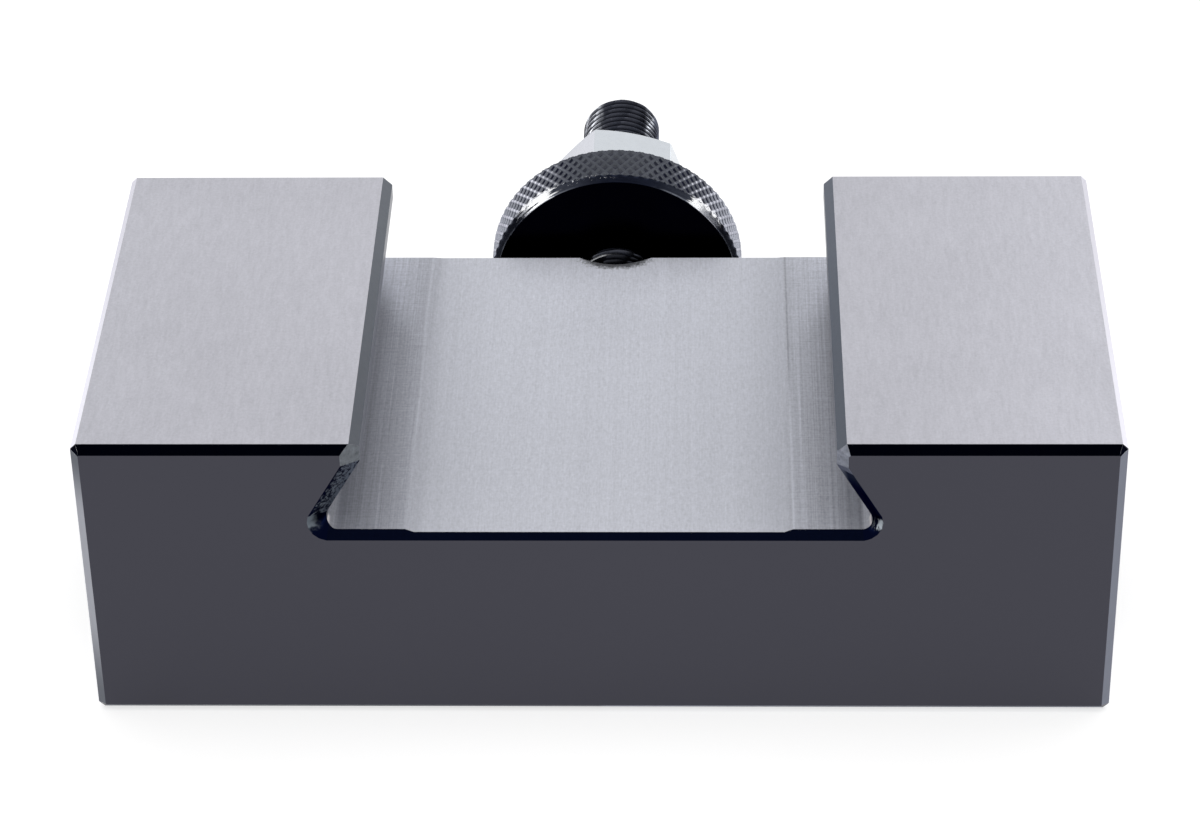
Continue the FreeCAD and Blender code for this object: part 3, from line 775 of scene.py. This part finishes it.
turn = np.linspace(0, 2 * np.pi, 192, endpoint=False) + nut_turn
outline = hexagon(turn, flats, nut_turn)
slope = (outline - face_radius) * math.tan(crown)
level = np.ones_like(turn)
rings = [
    (level * (nut_start + bore_bevel), level * bore_radius),
    (level * nut_start, level * (bore_radius + bore_bevel)),
    (level * nut_start, level * face_radius),
    (nut_start + slope, outline),
    (nut_end - slope, outline),
    (level * nut_end, level * face_radius),
    (level * nut_end, level * (bore_radius + bore_bevel)),
    (level * (nut_end - bore_bevel), level * bore_radius),
]
along = np.stack([ring[0] for ring in rings])
radius = np.stack([ring[1] for ring in rings])
hex_mesh = turned("hexagon_lock_nut", radius, along, turn[None, :], *stud_axis, True)


def bright_zinc():
    """Bright zinc plate: pale, faintly blue, with painted shade on the facets left of x = -2.2, a soft orange
    peel and a few dull clouds."""
    finish = Finish("bright_zinc", rough=0.26)
    (x,) = finish.axes("X")
    peel = finish.noise(1.4, 2.0)
    cloud = finish.noise(0.25, 2.0)
    # Painted shade on the facets left of x = -2.2.
    tone = finish.mix(x.ramp(-2.1, -2.3), shade(207, 212, 218), shade(187, 189, 197))
    finish.feed("Base Color", finish.tint(tone, 1.0 + (peel + cloud - 1.0) * 0.08))
    finish.feed("Roughness", 0.24 + (cloud - 0.5) * 0.2)
    finish.bump(peel, 0.01)
    return finish


hex_nut = add("hexagon_lock_nut", hex_mesh, bright_zinc(), "lock_nut", "lock_nut", 15.0)
soft = hex_nut.modifiers.new("soft_edges", "BEVEL")
soft.width = 0.16 * mm
soft.segments = 2
soft.limit_method = "ANGLE"
soft.angle_limit = math.radians(14.0)
soft.harden_normals = True


# Clamping screws: four M12 socket set screws in the upper jaw, blackened. A 6 mm hexagon key turns them down
# on the tool's shank in the slot.

screw_radius, screw_pitch, screw_cut, screw_bevel = 6.0, 1.75, 1.0, 1.2
screw_start, screw_end = slot_high, 16.2
socket_flats, socket_floor, socket_bevel, drill_point = 6.0, 10.2, 0.4, 1.5
turn = np.linspace(0, 2 * np.pi, 96, endpoint=False)[None, :]
shank = np.linspace(screw_start, screw_end, 280)[:, None]
to_end = np.minimum(shank - screw_start, screw_end - shank)
cut = screw_radius - screw_cut * thread_depth(shank, turn, screw_pitch)
shank_radius = np.minimum(cut, screw_radius - screw_bevel + to_end)
key_way = hexagon(turn, socket_flats)
corner = socket_flats / math.sqrt(3)
inside = [
    (screw_end, np.full_like(turn, corner + 0.1)),
    (screw_end - socket_bevel, np.minimum(key_way, corner - socket_bevel)),
    (screw_end - 0.5 - socket_bevel, key_way),
    (socket_floor, key_way),
    (socket_floor, np.full_like(turn, socket_flats / 2)),
    (socket_floor - drill_point, np.full_like(turn, 0.3)),
]
radius = np.vstack([shank_radius] + [ring for place, ring in inside])
along = np.concatenate([shank[:, 0], [place for place, ring in inside]])[:, None]
for number, screw_x in enumerate(screw_places, start=1):
    name, node = f"clamping_screw_{number}", f"set_screw_{number}"
    axis = screw_x, screw_z
    screw = turned(name, radius, along, turn, *axis)
    oxide, tone = black_oxide(f"screw_oxide_{number}", shade(68, 70, 78), screw_radius, axis, screw_end)
    oxide.feed("Base Color", tone)
    add(name, screw, oxide, node, node, 40.0)


# The floor that the holder lies on, a plain white one, and soft studio light: a white surround, a wide lamp
# above, one at each side and a weak one at each far corner.

floor_finish = Finish("studio_floor", metallic=0.0, rough=0.9)
rays = floor_finish.node("ShaderNodeLightPath", output="Is Camera Ray")
glossy = floor_finish.node("ShaderNodeLightPath", output="Is Glossy Ray")
floor_finish.feed("Base Color", shade(190, 190, 190))
floor_finish.feed("Emission Color", floor_finish.tint((1.0, 1.0, 1.0), (rays + glossy) * 0.62))
floor_finish.feed("Emission Strength", 1.0)
half = 3.0
floor_mesh = bpy.data.meshes.new("studio_floor")
floor_corners = [(-half, -half, 0), (half, -half, 0), (half, half, 0), (-half, half, 0)]
floor_mesh.from_pydata(floor_corners, [], [(0, 1, 2, 3)])
floor_mesh.materials.append(floor_finish.material)
studio_floor = bpy.data.objects.new("studio_floor", floor_mesh)
scene.collection.objects.link(studio_floor)

world = bpy.data.worlds.new("studio")
scene.world = world
world.use_nodes = True
surround = Graph(world.node_tree)
backdrop = world.node_tree.nodes["Background"]
camera_ray, glossy_ray, clear_ray = [
    surround.node("ShaderNodeLightPath", output=f"Is {kind} Ray")
    for kind in ("Camera", "Glossy", "Transmission")
]
seen = {"Value": camera_ray + glossy_ray + clear_ray, "To Min": 0.8, "To Max": 1.0}
surround.join(backdrop.inputs["Color"], (1.0, 1.0, 1.0, 1.0))
surround.join(backdrop.inputs["Strength"], surround.node("ShaderNodeMapRange", {}, seen))


def softbox(name, place, size, power):
    """A square area lamp at a place, turned to face the holder."""
    lamp = bpy.data.lights.new(name, "AREA")
    lamp.shape = "SQUARE"
    lamp.size = size
    lamp.energy = power
    way = Vector((0.0, -0.01, 0.02)) - Vector(place)
    stand = bpy.data.objects.new(name, lamp)
    stand.matrix_world = Matrix.Translation(place) @ way.to_track_quat("-Z", "Y").to_matrix().to_4x4()
    scene.collection.objects.link(stand)


softbox("top_lamp", (0.1, 0.15, 1.6), 1.2, 6.0)
softbox("left_lamp", (-1.2, -0.5, 0.35), 0.35, 1.0)
softbox("right_lamp", (1.2, -0.5, 0.35), 0.35, 1.0)
softbox("far_left_lamp", (-0.75, 0.95, 0.14), 0.5, 0.35)
softbox("far_right_lamp", (0.75, 0.95, 0.14), 0.5, 0.6)

# The camera stands where a fit to the photograph's edges put it: above and before the holder's lower end,
# looking down at about 35 degrees through a long lens.

camera_place = Vector((11.288, -383.465, 274.37))
yaw, pitch, roll = -0.03248, 0.60723, -0.01878
ahead = Vector((math.sin(yaw) * math.cos(pitch), math.cos(yaw) * math.cos(pitch), -math.sin(pitch)))
level_right = Vector((math.cos(yaw), -math.sin(yaw), 0.0))
level_up = level_right.cross(ahead)
right = math.cos(roll) * level_right + math.sin(roll) * level_up
up = math.cos(roll) * level_up - math.sin(roll) * level_right
lens = bpy.data.cameras.new("camera")
lens.sensor_width = 36.0
lens.lens = 114.61
lens.clip_start = 0.01
camera = bpy.data.objects.new("camera", lens)
facing_holder = Matrix((right, up, -ahead)).transposed().to_4x4()
camera.matrix_world = Matrix.Translation(camera_place * mm) @ facing_holder
scene.collection.objects.link(camera)
scene.camera = camera
scene.view_settings.view_transform = "Standard"
